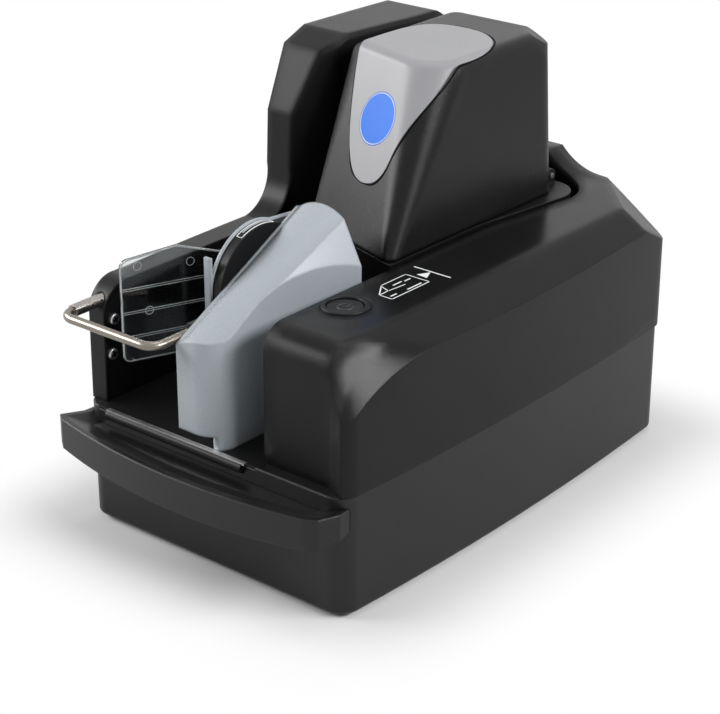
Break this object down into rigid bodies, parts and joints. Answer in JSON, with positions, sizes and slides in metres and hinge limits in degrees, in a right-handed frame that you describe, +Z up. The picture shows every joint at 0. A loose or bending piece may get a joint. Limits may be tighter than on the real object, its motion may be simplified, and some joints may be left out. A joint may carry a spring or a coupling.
{
  "type": "cheque scanner",
  "caption": "Black desktop cheque scanner with a front hopper, a U-shaped track between two towers, an exit pocket with a clear flag and wire bail, and a hinged inner tower cover.",
  "frame": {"origin": "on the desk under the middle of the machine's footprint, feet at z = 0", "axes": "+Z up, +Y towards the back, +X to the operator's right when facing the document entry"},
  "size_m": [0.1752, 0.2985, 0.215],
  "materials": {
    "casing_black": "fine-textured satin black",
    "floor_black": "satin black coated steel",
    "trim_black": "smooth satin black",
    "divider_grey": "smooth satin grey",
    "inlay_grey": "satin light grey",
    "badge_blue": "gloss blue with a white ring",
    "clear_plastic": "clear moulded",
    "camera_glass": "clear",
    "wire_nickel": "satin nickel-plated wire",
    "sleeve_metal": "dark satin metal",
    "bright_steel": "bright edge strip",
    "steel": "plain steel",
    "rubber": "moulded",
    "roller_rubber": "ground rubber",
    "belt_rubber": "toothed belt",
    "pulley_plastic": "natural acetal on a steel shaft",
    "pinch_plastic": "grey acetal",
    "motor_metal": "zinc-plated can",
    "head_metal": "lapped metal",
    "board": "green solder mask",
    "connector_black": "moulded",
    "connector_metal": "tinned shell",
    "cartridge_plastic": "moulded cartridge"
  },
  "bodies": {
    "machine": {"base_casing": "casing_black", "bottom_plate": "casing_black", "bottom_screws": "steel", "rubber_feet": "rubber", "front_lip": "casing_black", "floor_plate": "floor_black", "wear_strip": "bright_steel", "main_cover": "casing_black", "button_bezel": "trim_black", "button_board": "board", "pusher_pin": "steel", "outer_guide": "trim_black", "left_housing": "casing_black", "wall_screws": "steel", "bail_sleeve": "sleeve_metal", "bail_guide": "trim_black", "exit_guide": "trim_black", "exit_flange": "divider_grey", "flag_pin": "steel", "divider_shell": "divider_grey", "island": "trim_black", "tower_hinge_pin": "steel", "pinch_pins": "steel", "drive_plate": "steel", "drive_motor": "motor_metal", "drive_belt": "belt_rubber", "main_board": "board", "power_inlet": "connector_black", "usb_port": "connector_metal", "inner_camera": "trim_black", "outer_camera": "trim_black", "inner_camera_glass": "camera_glass", "outer_camera_glass": "camera_glass", "micr_head": "head_metal", "ink_cartridge": "cartridge_plastic"},
    "inner_tower": {"inner_tower_cover": "casing_black", "tower_inlay": "inlay_grey", "tower_badge": "badge_blue"},
    "flag": {"clear_flag": "clear_plastic"},
    "bail": {"wire_bail": "wire_nickel"},
    "button": {"power_button": "trim_black"},
    "pusher": {"hopper_pusher": "trim_black"},
    "motor_drive": {"motor_pulley": "pulley_plastic"},
    "feed_roller": {"feed_roller_shaft": "pulley_plastic", "feed_roller_tyres": "roller_rubber"},
    "feed_pinch": {"feed_pinch_roller": "pinch_plastic"},
    "carry_roller": {"carry_roller_shaft": "pulley_plastic", "carry_roller_tyres": "roller_rubber"},
    "carry_pinch": {"carry_pinch_roller": "pinch_plastic"},
    "return_roller": {"return_roller_shaft": "pulley_plastic", "return_roller_tyres": "roller_rubber"},
    "return_pinch": {"return_pinch_roller": "pinch_plastic"},
    "exit_roller": {"exit_roller_shaft": "pulley_plastic", "exit_roller_tyres": "roller_rubber"},
    "exit_pinch": {"exit_pinch_roller": "pinch_plastic"}
  },
  "joints": [
    {"name": "tower_hinge", "type": "hinge", "parent": "machine", "child": "inner_tower", "pos_m": [0, 0.1195, 0.1335], "axis": [-1, 0, 0], "range_deg": [0, 60]},
    {"name": "flag_pivot", "type": "hinge", "parent": "machine", "child": "flag", "pos_m": [-0.03, -0.076, 0.1], "axis": [0, 0, 1], "range_deg": [-20, 18], "stiffness_Nm_per_rad": 0.02},
    {"name": "bail_slide", "type": "slide", "parent": "machine", "child": "bail", "axis": [0, -1, 0], "range_m": [0, 0.02]},
    {"name": "button_press", "type": "slide", "parent": "machine", "child": "button", "axis": [0, 0, -1], "range_m": [0, 0.0008], "stiffness_N_per_m": 1200},
    {"name": "pusher_swing", "type": "hinge", "parent": "machine", "child": "pusher", "pos_m": [0.0354, -0.046, 0.088], "axis": [0, 0, -1], "range_deg": [0, 18]},
    {"name": "motor_spin", "type": "hinge", "parent": "machine", "child": "motor_drive", "pos_m": [-0.022, 0.008, 0.048], "axis": [0, 0, 1], "continuous": true},
    {"name": "feed_spin", "type": "hinge", "parent": "machine", "child": "feed_roller", "pos_m": [0.0187, -0.01, 0.08], "axis": [0, 0, 1], "continuous": true},
    {"name": "feed_pinch_spin", "type": "hinge", "parent": "machine", "child": "feed_pinch", "pos_m": [0.035, -0.01, 0.08], "axis": [0, 0, 1], "continuous": true},
    {"name": "carry_spin", "type": "hinge", "parent": "machine", "child": "carry_roller", "pos_m": [0.0248, 0.088, 0.08], "axis": [0, 0, 1], "continuous": true},
    {"name": "carry_pinch_spin", "type": "hinge", "parent": "machine", "child": "carry_pinch", "pos_m": [0.0411, 0.088, 0.08], "axis": [0, 0, 1], "continuous": true},
    {"name": "return_spin", "type": "hinge", "parent": "machine", "child": "return_roller", "pos_m": [-0.0337, 0.1, 0.08], "axis": [0, 0, 1], "continuous": true},
    {"name": "return_pinch_spin", "type": "hinge", "parent": "machine", "child": "return_pinch", "pos_m": [-0.05, 0.1, 0.08], "axis": [0, 0, 1], "continuous": true},
    {"name": "exit_spin", "type": "hinge", "parent": "machine", "child": "exit_roller", "pos_m": [-0.0337, 0.074, 0.08], "axis": [0, 0, 1], "continuous": true},
    {"name": "exit_pinch_spin", "type": "hinge", "parent": "machine", "child": "exit_pinch", "pos_m": [-0.05, 0.074, 0.08], "axis": [0, 0, 1], "continuous": true}
  ],
  "couplings": [
    {"joint": "feed_spin", "follows": "motor_spin", "ratio": 1},
    {"joint": "feed_pinch_spin", "follows": "motor_spin", "ratio": -1.6667},
    {"joint": "carry_spin", "follows": "motor_spin", "ratio": 1},
    {"joint": "carry_pinch_spin", "follows": "motor_spin", "ratio": -1.6667},
    {"joint": "return_spin", "follows": "motor_spin", "ratio": 1},
    {"joint": "return_pinch_spin", "follows": "motor_spin", "ratio": -1.6667},
    {"joint": "exit_spin", "follows": "motor_spin", "ratio": 1},
    {"joint": "exit_pinch_spin", "follows": "motor_spin", "ratio": -1.6667}
  ]
}
